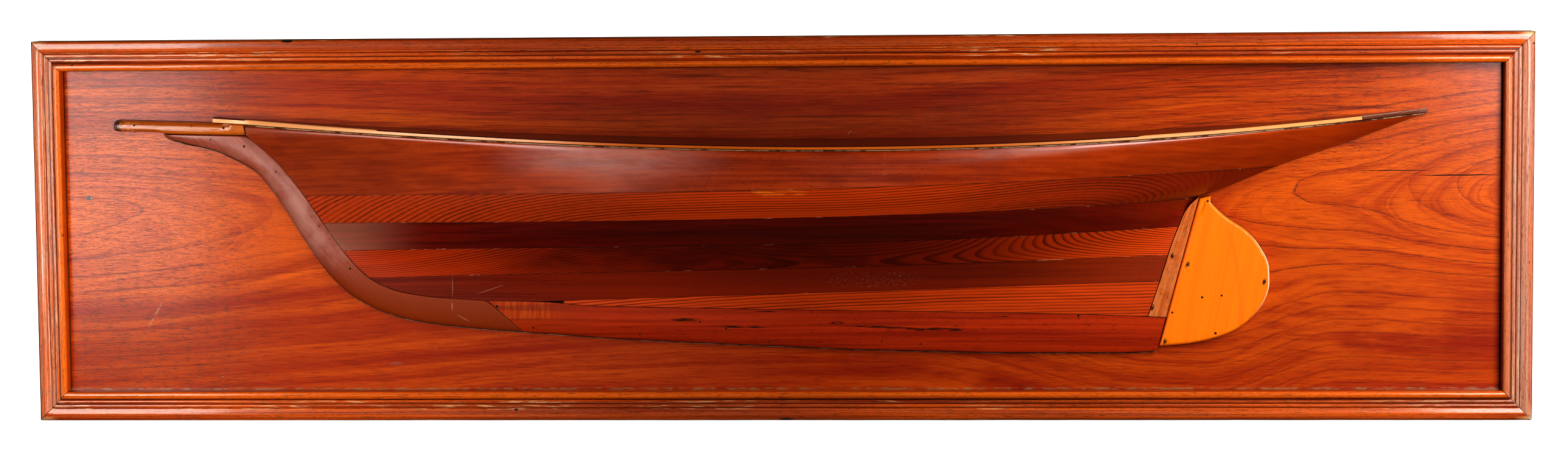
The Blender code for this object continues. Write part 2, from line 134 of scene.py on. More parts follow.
# The backboard. One plain-sawn mahogany plank, grain along its length, planed and varnished,
# and let into the rebate of the frame. Its rings run out at both ends in long arches.
class Grain:
    """A number that varies through the wood. Arithmetic on it adds Math nodes to the material."""

    def __init__(self, tree, socket):
        self.tree, self.socket = tree, socket

    def math(self, operation, *others):
        node = self.tree.nodes.new("ShaderNodeMath")
        node.operation = operation
        for place, value in zip(node.inputs, (self, *others)):
            fill(self.tree, place, value)
        return Grain(self.tree, node.outputs[0])

    def __add__(self, other):
        return self.math("ADD", other)

    def __sub__(self, other):
        return self.math("SUBTRACT", other)

    def __mul__(self, other):
        return self.math("MULTIPLY", other)

    def __truediv__(self, other):
        return self.math("DIVIDE", other)

    __radd__, __rmul__ = __add__, __mul__

    def __rsub__(self, other):
        return self * -1.0 + other

    def most(self, other):
        return self.math("MAXIMUM", other)

    def rise(self, low, high):
        """0 below low, 1 above high and smooth between; low may be the larger."""
        node = add(self.tree, "ShaderNodeMapRange", {"Value": self, "From Min": low, "From Max": high},
                   interpolation_type="SMOOTHSTEP")
        return Grain(self.tree, node.outputs["Result"])


def fill(tree, socket, value):
    if isinstance(value, Grain):
        tree.links.new(value.socket, socket)
    elif isinstance(value, bpy.types.NodeSocket):
        tree.links.new(value, socket)
    else:
        socket.default_value = value


def add(tree, kind, filled=(), **settings):
    """Adds a node, with its settings and with values or links in its inputs."""
    node = tree.nodes.new(kind)
    for name, value in settings.items():
        setattr(node, name, value)
    for name, value in dict(filled).items():
        fill(tree, node.inputs[name], value)
    return node


def new_wood(name, attribute=None, turn=(0.0, 0.0, 0.0), shift=(0.0, 0.0, 0.0)):
    """A new material, its tree and the place in the wood: along, out of and across the plank."""
    material = bpy.data.materials.new(name)
    material.use_nodes = True
    tree = material.node_tree
    if attribute:
        place = add(tree, "ShaderNodeAttribute", attribute_name=attribute).outputs["Vector"]
    else:
        place = add(tree, "ShaderNodeTexCoord").outputs["Object"]
        place = add(tree, "ShaderNodeMapping", {
            "Vector": place, "Location": shift, "Rotation": turn}).outputs["Vector"]
    split = add(tree, "ShaderNodeSeparateXYZ", {"Vector": place})
    return material, tree, [Grain(tree, s) for s in split.outputs]


def figure(along, out, across, detail=2.0, roughness=0.5, shift=0.0):
    """Noise with each direction already counted per metre; about 0.25 to 0.75."""
    tree = along.tree
    place = add(tree, "ShaderNodeCombineXYZ", {"X": along + shift, "Y": out, "Z": across})
    noise = add(tree, "ShaderNodeTexNoise", {
        "Vector": place.outputs[0], "Scale": 1.0, "Detail": detail, "Roughness": roughness})
    return Grain(tree, noise.outputs["Fac"])


def tone(share, first, second):
    """The colour that share (0 to 1) of the way from the first to the second."""
    node = add(share.tree, "ShaderNodeMix", data_type="RGBA")
    fill(share.tree, node.inputs["Factor"], share)
    for place, colour in ((node.inputs[6], first), (node.inputs[7], second)):
        fill(share.tree, place, (*colour, 1.0) if isinstance(colour, tuple) else colour)
    return node.outputs[2]


def pores(along, out, across, density=0.5):
    """Short dark dashes along the grain, the open pores of the wood."""
    long = figure(along * 95.0, out * 2000.0, across * 2000.0, detail=1.0)
    short = figure(along * 330.0, out * 3200.0, across * 3200.0, detail=0.0, shift=31.0)
    long = long.rise(0.70 - 0.10 * density, 0.78 - 0.10 * density)
    short = short.rise(0.74 - 0.10 * density, 0.82 - 0.10 * density)
    return long.most(short * 0.8)


def stain(x, z, place, half_length, half_width, slope=0.0):
    """1 in the middle of a long soft mark on the board, and 0 outside it."""
    along = ((x - place[0]) * cos(slope) + (z - place[1]) * sin(slope)) / half_length
    across = ((z - place[1]) * cos(slope) - (x - place[0]) * sin(slope)) / half_width
    return (along * along + across * across).rise(1.0, 0.35)


def varnish(tree, colour, height, coat=0.55, gloss=0.16, under=0.45, relief=0.00012):
    """Puts the wood's colour and fine relief under a coat of varnish."""
    shader = tree.nodes["Principled BSDF"]
    fill(tree, shader.inputs["Base Color"], colour)
    shader.inputs["Roughness"].default_value = under
    shader.inputs["Specular IOR Level"].default_value = 0.12
    shader.inputs["Coat Weight"].default_value = coat
    shader.inputs["Coat Roughness"].default_value = gloss
    for name, strength in (("Normal", 0.7), ("Coat Normal", 0.15)):
        bump = add(tree, "ShaderNodeBump", {"Height": height, "Distance": relief, "Strength": strength})
        fill(tree, shader.inputs[name], bump.outputs["Normal"])


def place_piece(piece, material, nodes=(), slot=None):
    """Gives a finished piece its material and its place on the object."""
    piece.data.materials.clear()
    piece.data.materials.append(material)
    if piece.name not in scene.collection.objects:
        scene.collection.objects.link(piece)
    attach(piece, "root")
    if nodes:
        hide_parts(*nodes)


board_half = (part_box("backboard")[1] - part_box("backboard")[0]).x / 2
heart_height, heart_slope = 0.0230, 0.0190      # the rings' middle line on the board's face
heart_depth = (    # along the board, and how far the heart lies behind the face there
    (-0.600, 0.0447), (-0.520, 0.0485), (-0.390, 0.0592), (-0.200, 0.0752), (0.000, 0.0797),
    (0.200, 0.0693), (0.350, 0.0548), (0.412, 0.0485), (0.472, 0.0449), (0.500, 0.0394),
    (0.538, 0.0300), (0.580, 0.0200), (0.600, 0.0173),
)
first_ring, ring_step = 0.0295, 0.0095
crack_shade_and_dirt = 1.8      # how far a split is painted dark, in half widths of it: painted shade in the crack, with dirt
corner_shade_x, corner_shade_z = (0.5742, 0.5756), (0.1284, 0.1296)      # painted shade on the board against the frame's inner edge
sill_dust = (-0.1276, -0.1288)
board_orange, board_red, board_dark = (0.60, 0.112, 0.002), (0.27, 0.016, 0.001), (0.045, 0.014, 0.008)
board_grey, board_dust, hole_filler = (0.23, 0.20, 0.17), (0.34, 0.25, 0.13), (0.055, 0.060, 0.050)
split_runs = (((0.4575, 0.0446), (0.5258, 0.0443), 0.0, 0.00018),
              ((0.5082, 0.0403), (0.5763, 0.0407), 0.006, 0.00032))    # ends, slope and half width
filled_hole = ((-0.557, 0.027), 0.0030, 0.0022, 0.0)
grey_scuffs = (((-0.3085, -0.1085), 0.0070, 0.0016, 0.0), ((-0.2760, -0.0970), 0.0045, 0.0006, 1.05))
pale_scuffs = (((0.061, 0.078), 0.0050, 0.0007, 0.9), ((-0.5060, -0.0700), 0.0160, 0.0012, 1.05),
               ((-0.4700, -0.1180), 0.0014, 0.0024, 0.3), ((-0.4510, -0.1180), 0.0010, 0.0024, 0.3))


def board_mahogany():
    material, tree, (x, y, z) = new_wood("board_mahogany")
    deepest = max(depth for _, depth in heart_depth)
    curve = add(tree, "ShaderNodeFloatCurve", {"Value": (x / (2 * board_half)) + 0.5})
    points = curve.mapping.curves[0].points
    for k, (place, depth) in enumerate(heart_depth):
        spot = ((place / board_half + 1) / 2, depth / deepest)
        if k in (0, len(heart_depth) - 1):
            points[0 if k == 0 else -1].location = spot
        else:
            points.new(*spot)
    curve.mapping.update()
    depth = Grain(tree, curve.outputs[0]) * deepest
    dip = x.rise(0.45, 0.34) * z.rise(-0.01, -0.06) * 0.030 * x.rise(0.10, 0.30)
    off_heart = z - heart_height - x * heart_slope + dip
    sway = figure(x * 9.0, y, z * 30.0, detail=3.0)
    radius = (off_heart * off_heart + depth * depth).math("SQRT") + (sway - 0.5) * 0.004
    ring = (radius - first_ring) / ring_step
    number = (ring + 0.5).math("FLOOR")
    strength = figure(number * 7.3, y * 0.0, number * 3.1, detail=0.0).rise(0.25, 0.55)
    edge = ring - number
    slant = (off_heart.math("ABSOLUTE") / radius).most(0.20)     # rings cut aslant look wide
    broken = figure(x * 110.0, y, z * 1300.0, detail=2.0).rise(0.36, 0.56)
    off_line = edge.math("ABSOLUTE") * ring_step / slant
    line = off_line.rise(0.00070, 0.00015) * (broken * 0.80 + 0.20)
    line = line * (1.0 - x.rise(-0.50, -0.40) * x.rise(0.34, 0.24) * 0.75)
    line = line * (1.0 - z.rise(-0.045, -0.070) * 0.45)
    shade = edge.rise(-0.22, 0.0) * edge.rise(0.03, 0.0)
    layered = radius + z * 0.30
    streak = figure(x * 7.0, y * 40.0, layered * 520.0, detail=4.0, roughness=0.62)
    band = figure(x * 2.2, y * 9.0, radius * 95.0, detail=2.0, shift=7.0)
    cloud = figure(x * 7.0, y * 20.0, z * 11.0, detail=2.0, shift=3.0)
    flame = figure(x * 30.0, y * 30.0, z * 160.0, detail=3.0, shift=12.0)
    open_pored = x.rise(-0.38, -0.46).most(x.rise(0.36, 0.46) * z.rise(0.030, 0.060) * 0.8)
    pore = pores(x, y, z, density=1.1) * (open_pored * 0.75 + 0.25)
    redness = radius.rise(0.045, 0.115) * 0.55 + (band - 0.5) * 1.8 + 0.05
    colour = tone(redness, board_orange, board_red)
    colour = tone(streak.rise(0.42, 0.70) * 0.60, colour, board_red)
    fibre = figure(x * 42.0, y, z * 1300.0, detail=4.0, roughness=0.7, shift=22.0)
    colour = tone(fibre.rise(0.49, 0.66) * 0.58, colour, (0.135, 0.009, 0.001))
    colour = tone(fibre.rise(0.46, 0.32) * 0.30, colour, board_orange)
    colour = tone(cloud.rise(0.50, 0.66) * flame.rise(0.35, 0.65) * 0.55, colour, board_orange)
    shadow = (z - x * x * 0.10).rise(0.128, 0.082) * z.rise(0.03, 0.05)
    shadow = shadow * x.rise(0.34, 0.12) * x.rise(-0.30, -0.06)
    colour = tone(shadow * 0.42, colour, (0.075, 0.006, 0.001))
    sooty = figure(x * 10.0, y, z * 420.0, detail=4.0, roughness=0.7, shift=40.0).rise(0.48, 0.66)
    colour = tone(sooty * z.rise(0.050, 0.090) * x.rise(0.56, 0.46) * 0.65, colour, (0.100, 0.008, 0.002))
    colour = tone(shade * strength * 0.30, colour, board_red)
    dark = (line * strength * 0.62).most(pore * 0.70)
    # painted shade in the corner where the board meets the frame's inner edge, at the sides and the top
    dark = dark.most(x.math("ABSOLUTE").rise(*corner_shade_x) * 0.8)
    dark = dark.most(z.rise(*corner_shade_z) * 0.8)
    # each split is painted dark: painted shade in the crack, with dirt beside it
    for start, end, slope, width in split_runs:
        middle = (start[0] + end[0]) / 2, (start[1] + end[1]) / 2
        dark = dark.most(stain(x, z, middle, (end[0] - start[0]) / 2, width * crack_shade_and_dirt, slope))
    colour = tone(dark, colour, board_dark)
    ragged = figure(x * 120.0, y, z * 600.0, detail=2.0, shift=15.0)
    colour = tone(z.rise(*sill_dust) * ragged.rise(0.42, 0.60) * 0.45, colour, board_dust)
    hole = stain(x, z, *filled_hole) * 0.95
    colour = tone(hole, colour, tone(ragged.rise(0.58, 0.66), hole_filler, board_dust))
    for marks, shade_of, strong, solid in ((grey_scuffs, board_grey, 0.40, 0.62),
                                           (pale_scuffs, board_dust, 0.45, 0.60)):
        for mark in marks:
            colour = tone(stain(x, z, *mark) * ragged.rise(0.40, solid) * strong, colour, shade_of)
    height = streak * 0.3 + (1.0 - pore) * 0.7 + (1.0 - line) * 0.3
    varnish(tree, colour, height, coat=0.42, gloss=0.16)
    return material


def welded(node):
    """The node's own solid, with its loose triangles joined."""
    bm = bmesh.new()
    bm.from_mesh(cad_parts[node].data)
    bmesh.ops.remove_doubles(bm, verts=bm.verts, dist=1e-6)
    return bm


level_face, spar_corner = 0.985, 60.0      # a face this level is a seam; a spar's corners are rounder


def planed(node, name, corner=35.0, levels=1, eased=None, ease=0.001):
    """The node's own solid as a new piece: smooth, its corners and seams crisp, the chosen edges
    eased. Its attributes rise and right_rim say where its top and its right-hand ease are."""
    bm = welded(node)
    bmesh.ops.join_triangles(bm, faces=bm.faces, angle_face_threshold=radians(20),
                             angle_shape_threshold=radians(80))
    rim = bm.verts.layers.float.new("right_rim")
    if eased:
        chosen = [e for e in bm.edges if len(e.link_faces) == 2 and e.calc_face_angle() > radians(corner)
                  and eased(e)]
        rounded = bmesh.ops.bevel(bm, geom=chosen, offset=ease, segments=5, profile=0.5, affect="EDGES",
                                  clamp_overlap=True)
        bm.normal_update()
        for vert in {v for f in rounded["faces"] for v in f.verts}:
            vert[rim] = max(0.0, vert.normal.x)
    height = bm.verts.layers.float.new("rise")
    for vert in bm.verts:
        vert[height] = float(any(f.normal.z > 0.7 for f in vert.link_faces))
    crease = bm.edges.layers.float.new("crease_edge")
    for edge in bm.edges:
        sharp = len(edge.link_faces) == 2 and edge.calc_face_angle() > radians(corner)
        if len(edge.link_faces) == 2 and corner < spar_corner and edge.calc_face_angle() > radians(8):
            flat = [abs(f.normal.z) > level_face for f in edge.link_faces]
            sharp = sharp or flat[0] != flat[1]
        edge.smooth = not sharp
        edge[crease] = float(sharp)
    mesh = bpy.data.meshes.new(name)
    for face in bm.faces:
        face.smooth = True
    bm.to_mesh(mesh)
    bm.free()
    piece = bpy.data.objects.new(name, mesh)
    scene.collection.objects.link(piece)
    if levels:
        rounding = piece.modifiers.new("rounding", "SUBSURF")
        rounding.levels = rounding.render_levels = levels
        bpy.context.view_layer.update()
        smoother = bpy.data.meshes.new_from_object(
            piece.evaluated_get(bpy.context.evaluated_depsgraph_get()))
        piece.modifiers.clear()
        piece.data = smoother
        smoother.name = name
    return piece


def cut_split(board, start, end, width, depth=0.0030):
    """Cuts one long narrow drying split into the board's face, as a wedge that runs out at its ends."""
    bm = bmesh.new()
    face = -0.0180
    steps = 24
    rims = []
    for k in range(steps + 1):
        share = k / steps
        x = start[0] + (end[0] - start[0]) * share
        z = start[1] + (end[1] - start[1]) * share + 0.00035 * sin(share * 19.0)
        open_by = width * max(0.08, sin(pi * share)) ** 0.6
        rims.append([bm.verts.new(v) for v in (
            (x, face - 0.001, z - open_by), (x, face - 0.001, z + open_by), (x, face + depth, z))])
    for a, b in zip(rims, rims[1:]):
        for k in range(3):
            bm.faces.new((a[k], a[(k + 1) % 3], b[(k + 1) % 3], b[k]))
    bm.faces.new(rims[0])
    bm.faces.new(rims[-1])
    bmesh.ops.recalc_face_normals(bm, faces=bm.faces)
    wedge = bpy.data.objects.new("split", bpy.data.meshes.new("split"))
    bm.to_mesh(wedge.data)
    bm.free()
    scene.collection.objects.link(wedge)
    cut = board.modifiers.new("split", "BOOLEAN")
    cut.operation, cut.solver, cut.object = "DIFFERENCE", "EXACT", wedge
    bpy.context.view_layer.update()
    cut_mesh = bpy.data.meshes.new_from_object(board.evaluated_get(bpy.context.evaluated_depsgraph_get()))
    board.modifiers.clear()
    board.data = cut_mesh
    bpy.data.objects.remove(wedge)


board = planed("backboard", "board", levels=0)
for start, end, _, width in split_runs:
    cut_split(board, start, end, width)
for face in board.data.polygons:
    face.use_smooth = False
place_piece(board, board_mahogany(), ["backboard"], "backboard_mahogany")


# The frame. Four lengths of one hand-planed moulding, a broad outer member, two reeds and a
# bold inner bead, mitred at the corners and pinned. The varnish is worn pale on the edges. The
# quirks between the members and the foot of the rebate wall are painted near black, as painted
# shade with old dirt; the bead's crest has a painted highlight and the uprights a painted sheen.
moulding_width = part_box("frame_left")[1].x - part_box("frame_left")[0].x
outer_side, outer_round, outer_member, outer_depth, outer_fall = 0.0245, 0.0033, 0.0100, 0.0286, 0.0013
quirk_depth, quirk_width, reed_radius, reed_count = 0.0261, 0.0003, 0.0016, 2
bead_radius = 0.0031
bead_depth = -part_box("frame_left")[0].y
rebate_depth, rebate_width = 0.0183, 0.0070
mitre_gap = 0.00025


def arc(centre_in, centre_out, radius, start, end, steps):
    """Points of an arc as (inward, out); angle 0 points outwards from the frame's middle."""
    turns = [radians(start + (end - start) * k / steps) for k in range(steps + 1)]
    return [(centre_in - radius * cos(t), centre_out + radius * sin(t)) for t in turns]


def moulding_outline():
    points = [(0.0, 0.0)]
    points += arc(outer_round, outer_side, outer_round, 0, 90, 8)
    points.append((outer_member * 0.50, outer_depth))
    points.append((outer_member * 0.72, outer_depth - outer_fall * 0.4))
    points += arc(outer_member - 0.0008, outer_depth - outer_fall - 0.0008, 0.0008, 90, 180, 4)
    place = outer_member + quirk_width
    for _ in range(reed_count):
        points += arc(place + reed_radius, quirk_depth, reed_radius, 0, 180, 10)
        place += 2 * reed_radius + quirk_width
    points += arc(moulding_width - bead_radius, bead_depth - bead_radius, bead_radius, 0, 180, 16)
    points += [(moulding_width, rebate_depth), (moulding_width - rebate_width, rebate_depth),
               (moulding_width - rebate_width, 0.0)]
    return points


def geometry_tree(name, inputs):
    """An empty Geometry Nodes tree with named inputs, and its two ends."""
    tree = bpy.data.node_groups.new(name, "GeometryNodeTree")
    for label, kind in (("Geometry", "Geometry"), *inputs):
        tree.interface.new_socket(label, in_out="INPUT", socket_type="NodeSocket" + kind)
    tree.interface.new_socket("Geometry", in_out="OUTPUT", socket_type="NodeSocketGeometry")
    return tree, tree.nodes.new("NodeGroupInput").outputs, tree.nodes.new("NodeGroupOutput").inputs


def painted_whole(tree, made, geometry, material):
    """Ends a tree: its instances made real and its material set."""
    whole = add(tree, "GeometryNodeRealizeInstances", {"Geometry": geometry})
    painted = add(tree, "GeometryNodeSetMaterial", {"Geometry": whole.outputs[0], "Material": material})
    fill(tree, made["Geometry"], painted.outputs[0])
    return tree


def grown(name, source, tree, values):
    """Runs a Geometry Nodes tree on an object and keeps its result as a plain mesh piece."""
    scene.collection.objects.link(source)
    modifier = source.modifiers.new("making", "NODES")
    modifier.node_group = tree
    for socket in tree.interface.items_tree:
        if socket.in_out == "INPUT" and socket.name in values:
            modifier[socket.identifier] = values[socket.name]
    bpy.context.view_layer.update()
    mesh = bpy.data.meshes.new_from_object(
        source.evaluated_get(bpy.context.evaluated_depsgraph_get()))
    source.modifiers.clear()
    bpy.data.objects.remove(source)
    mesh.name = name
    return bpy.data.objects.new(name, mesh)


def moulding_tree():
    """A length of moulding along X, wavering a little, mitred at both ends, then turned."""
    tree, given, made = geometry_tree("run_of_moulding", (
        ("Length", "Float"), ("Step", "Float"), ("Waver", "Float"), ("Seed", "Float"),
        ("Turn", "Rotation"), ("Place", "Vector"), ("Wood", "Material")))
    ends = [add(tree, "ShaderNodeCombineXYZ", {"X": Grain(tree, given["Length"]) * side})
            for side in (-0.5, 0.5)]
    line = add(tree, "GeometryNodeCurvePrimitiveLine", {
        "Start": ends[0].outputs[0], "End": ends[1].outputs[0]})
    line = add(tree, "GeometryNodeResampleCurve", {
        "Curve": line.outputs[0], "Length": given["Step"]}, mode="LENGTH")
    swept = add(tree, "GeometryNodeCurveToMesh", {
        "Curve": line.outputs[0], "Profile Curve": given["Geometry"], "Fill Caps": True})
    spot = add(tree, "ShaderNodeSeparateXYZ", {
        "Vector": add(tree, "GeometryNodeInputPosition").outputs[0]})
    x, y, z = [Grain(tree, s) for s in spot.outputs]
    half = Grain(tree, given["Length"]) * 0.5
    mitred = x * (half - mitre_gap + z) / half
    waver = []
    for shift in (0.0, 50.0):
        noise = add(tree, "ShaderNodeTexNoise", {"Scale": 1.0, "Detail": 2.0})
        where = add(tree, "ShaderNodeCombineXYZ", {
            "X": x * 22.0 + shift, "Y": y * 60.0 + given["Seed"], "Z": z * 60.0})
        fill(tree, noise.inputs["Vector"], where.outputs[0])
        waver.append((Grain(tree, noise.outputs[0]) - 0.5) * Grain(tree, given["Waver"]))
    free = (y * -1.0).rise(rebate_depth, quirk_depth)
    moved = add(tree, "ShaderNodeCombineXYZ", {
        "X": mitred, "Y": y + waver[0] * free, "Z": z + waver[1] * free})
    shaped = add(tree, "GeometryNodeSetPosition", {
        "Geometry": swept.outputs[0], "Position": moved.outputs[0]})
    where = add(tree, "ShaderNodeCombineXYZ", {"X": x + given["Seed"], "Y": y * -1.0, "Z": z * -1.0})
    marked = add(tree, "GeometryNodeStoreNamedAttribute", {
        "Geometry": shaped.outputs[0], "Name": "moulding_place"}, data_type="FLOAT_VECTOR", domain="POINT")
    fill(tree, marked.inputs["Value"], where.outputs[0])
    ended = add(tree, "GeometryNodeStoreNamedAttribute", {
        "Geometry": marked.outputs[0], "Name": "from_mitre", "Value": half - x.math("ABSOLUTE")},
        data_type="FLOAT", domain="POINT")
    turned = add(tree, "GeometryNodeTransform", {
        "Geometry": ended.outputs[0], "Translation": given["Place"], "Rotation": given["Turn"]})
    return painted_whole(tree, made, turned.outputs[0], given["Wood"])


frame_orange, frame_red, frame_pale = (0.64, 0.120, 0.005), (0.26, 0.030, 0.003), (0.86, 0.56, 0.30)
frame_grime_and_shade = (0.030, 0.012, 0.006)
frame_sheen, frame_filler, painted_bead_highlight = (0.62, 0.38, 0.27), (0.42, 0.33, 0.25), (0.78, 0.19, 0.012)
frame_nicks = ((-0.3907, 0.0008, 0.0060, 0.0016), (5.9920, 0.0010, 0.0065, 0.0014),
               (-0.0600, 0.0115, 0.0030, 0.0009), (6.2100, 0.0090, 0.0020, 0.0010))


def frame_mahogany(name, bloom_and_sheen):
    """The second argument is how far a milky sheen is painted along the grain, a painted reflection."""
    material, tree, (x, out, inward) = new_wood(name, attribute="moulding_place")
    from_mitre = Grain(tree, add(tree, "ShaderNodeAttribute", attribute_name="from_mitre").outputs["Fac"])
    streak = figure(x * 4.0, out * 260.0, inward * 900.0, detail=3.0, roughness=0.6)
    broad = figure(x * 3.0, out * 60.0, inward * 160.0, detail=1.0, shift=9.0)
    ragged = figure(x * 60.0, out * 300.0, inward * 900.0, detail=2.0, shift=4.0)
    scrape = figure(x * 7.0, out * 500.0, inward * 1100.0, detail=4.0, roughness=0.65, shift=14.0)
    place_of_wear = figure(x * 9.0, out * 0.0, inward * 50.0, detail=2.0, shift=17.0)
    low = quirk_depth - out
    # painted shade: the quirks between the members are painted near black, with old dirt
    quirk = low.rise(-0.0006, 0.0002) * out.rise(0.0195, 0.0210)
    quirk = quirk * inward.rise(outer_member - 0.0002, outer_member) * (
        inward.rise(moulding_width - 0.0004, moulding_width - 0.0012))
    # painted shade at the foot of the rebate wall, where it meets the board
    wall = out.rise(0.0208, 0.0186) * inward.rise(moulding_width - 0.0006, moulding_width - 0.0001)
    rim = inward.rise(outer_member - 0.0010, outer_member - 0.0004) * inward.rise(
        outer_member + 0.0002, outer_member - 0.0001)
    crest = out.rise(quirk_depth + 0.0010, quirk_depth + 0.0015) * inward.rise(
        outer_member, outer_member + 0.0006) * inward.rise(moulding_width - 0.0068, moulding_width - 0.0076)
    edge = inward.rise(0.0016, 0.0002) * out.rise(0.022, 0.026)
    wear_and_highlight = (rim * 0.9).most(crest * 0.7).most(edge) * ragged.rise(0.50, 0.60)
    wear_and_highlight = wear_and_highlight * place_of_wear.rise(0.48, 0.62)
    corner = from_mitre.rise(0.016, 0.002) * inward.rise(0.0045, 0.0012) * place_of_wear.rise(0.40, 0.55)
    pore = pores(x, out, inward, density=0.8)
    colour = tone(streak.rise(0.40, 0.68) * (1.0 - bloom_and_sheen * 0.6), frame_orange, frame_red)
    # painted highlight along the crest of the bead
    bead = inward.rise(moulding_width - 0.0058, moulding_width - 0.0046) * out.rise(0.0285, 0.0310)
    colour = tone(bead * (0.35 + bloom_and_sheen * 0.30), colour, painted_bead_highlight)
    colour = tone(broad.rise(0.42, 0.60) * (0.6 - bloom_and_sheen * 0.4) * (1.0 - bead), colour, frame_red)
    # painted sheen: a milky reflection painted along the grain, strongest on the uprights
    painted_sheen = scrape.rise(0.40, 0.62) * inward.rise(0.0016, 0.0040) * inward.rise(
        moulding_width - 0.0058, moulding_width - 0.0066)
    colour = tone(painted_sheen * bloom_and_sheen, colour, frame_sheen)
    colour = tone(wear_and_highlight.most(corner) * 0.75, colour, frame_pale)
    if bloom_and_sheen > 0.5:
        colour = tone(x.rise(5.0, 4.0) * 0.38, colour, (0.34, 0.22, 0.18))      # the right one is greyer
    # the dark here is real dirt in pores, scrapes and nicks, and painted shade in the quirks and at the
    # wall's foot
    dirt_and_shade = (quirk * 0.97).most(wall * 0.85).most(pore * 0.6)
    dirt_and_shade = dirt_and_shade.most(scrape.rise(0.62, 0.70) * 0.5)
    for along, in_by, half_length, half_width in frame_nicks:
        dirt_and_shade = dirt_and_shade.most(stain(x, inward, (along, in_by), half_length, half_width))
    colour = tone(dirt_and_shade, colour, frame_grime_and_shade)
    mitre = from_mitre.rise(0.0012, 0.0006)
    colour = tone(mitre * 0.95, colour, frame_grime_and_shade)
    colour = tone(mitre * ragged.rise(0.56, 0.62) * 0.7, colour, frame_filler)
    height = streak * 0.3 + (1.0 - pore) * 0.5 + (1.0 - scrape.rise(0.62, 0.70)) * 0.4 - mitre * 1.5
    varnish(tree, colour, height, coat=0.7, gloss=0.11)
    return material


profile = bpy.data.curves.new("moulding_profile", "CURVE")
profile.dimensions = "3D"
outline = profile.splines.new("POLY")
outline.points.add(len(moulding_outline()) - 1)
for point, (inward, out) in zip(outline.points, reversed(moulding_outline())):
    point.co = (out, inward, 0.0, 1.0)
outline.use_cyclic_u = True

frame_wood = {"level": frame_mahogany("frame_mahogany", 0.10),
              "upright": frame_mahogany("frame_upright", 0.85)}
run_of_moulding = moulding_tree()
frame_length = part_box("frame_top")[1].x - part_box("frame_top")[0].x
frame_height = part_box("frame_left")[1].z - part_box("frame_left")[0].z
sides = {    # its length, the middle of its outer edge, and its turn about the board's face
    "top": (frame_length, (0.0, 0.0, frame_height / 2), 0.0),
    "right": (frame_height, (frame_length / 2, 0.0, 0.0), pi / 2),
    "bottom": (frame_length, (0.0, 0.0, -frame_height / 2), pi),
    "left": (frame_height, (-frame_length / 2, 0.0, 0.0), -pi / 2),
}
for seed, (side, (length, middle, turn)) in enumerate(sides.items()):
    wood = frame_wood["level" if side in ("top", "bottom") else "upright"]
    piece = grown("moulding_" + side, bpy.data.objects.new("profile", profile), run_of_moulding, {
        "Length": length, "Step": 0.006, "Waver": 0.0004, "Seed": 3.0 * seed,
        "Turn": (0.0, turn, 0.0), "Place": middle, "Wood": wood})
    for face in piece.data.polygons:
        face.use_smooth = True
    piece.data.set_sharp_from_angle(angle=radians(40))
    place_piece(piece, wood, ["frame_" + side], "frame_mahogany")


# The mahogany lifts, the first, third and fifth planks of the hull. They are glued together
# with their neighbours, shaped to the hull and varnished; the third is almost black.
def lift_mahogany(name, light, dark, turn=(0.0, 0.0, 0.0), shift=(0.0, 0.0, 0.0), coat=0.6, gloss=0.16,
                  local=None, porous=0.45):
    """Plain mahogany; local may change its colour from place to place."""
    material, tree, (x, y, z) = new_wood(name, turn=turn, shift=shift)
    across = z * 0.98 + y * 0.17
    deep = y * 0.98 - z * 0.17
    bend = figure(x * 5.0, deep * 8.0, across * 20.0, detail=2.0)
    layer = across + (bend - 0.5) * 0.006
    streak = figure(x * 5.0, deep * 60.0, layer * 420.0, detail=3.0, roughness=0.6)
    band = figure(x * 2.5, deep * 20.0, layer * 110.0, detail=1.0, shift=5.0)
    pore = pores(x, y, z, density=porous)
    black = tuple(c * 0.22 for c in dark)
    colour = tone(streak.rise(0.36, 0.68) * 0.7 + band.rise(0.42, 0.62) * 0.3, light, dark)
    colour = tone(pore * 0.60, colour, black)
    if local:
        colour = local(tree, colour, *straight(tree))
    varnish(tree, colour, streak * 0.4 + (1.0 - pore) * 0.6, coat=coat, gloss=gloss)
    return material


def straight(tree):
    """The place in the piece as the object lies: along, out and up."""
    split = add(tree, "ShaderNodeSeparateXYZ", {
        "Vector": add(tree, "ShaderNodeTexCoord").outputs["Object"]})
    return [Grain(tree, s) for s in split.outputs]


def first_lift_tone(tree, colour, x, y, z):
    # painted shade: lift 1 darker towards the bow, by the stem
    colour = tone(x.rise(-0.20, -0.34) * 0.45, colour, (0.20, 0.040, 0.010))
    ragged = figure(x * 60.0, y * 60.0, z * 260.0, detail=2.0)
    drip = stain(x, z, (0.0913, 0.045), 0.0026, 0.026) * ragged.rise(0.40, 0.70)
    colour = tone(drip * 0.12, colour, (0.75, 0.40, 0.20))
    mottle = figure(x * 24.0, y * 40.0, z * 90.0, detail=3.0, roughness=0.6, shift=33.0)
    colour = tone(mottle.rise(0.44, 0.66) * 0.35, colour, (0.16, 0.016, 0.002))
    colour = tone(x.rise(0.10, 0.36) * 0.30, colour, (0.55, 0.085, 0.006))
    # painted sheen: a milky reflection painted under the rail on the bow quarter and towards the stern
    painted_sheen = x.rise(-0.23, -0.16) * x.rise(-0.015, -0.10) * z.rise(0.040, 0.060) * 0.34
    painted_sheen = painted_sheen.most(x.rise(0.10, 0.24) * x.rise(0.40, 0.30) * (
        z - x * 0.09).rise(0.0415, 0.0490) * 0.50)
    return tone(painted_sheen * (ragged.rise(0.25, 0.60) * 0.4 + 0.6), colour, (0.60, 0.36, 0.33))


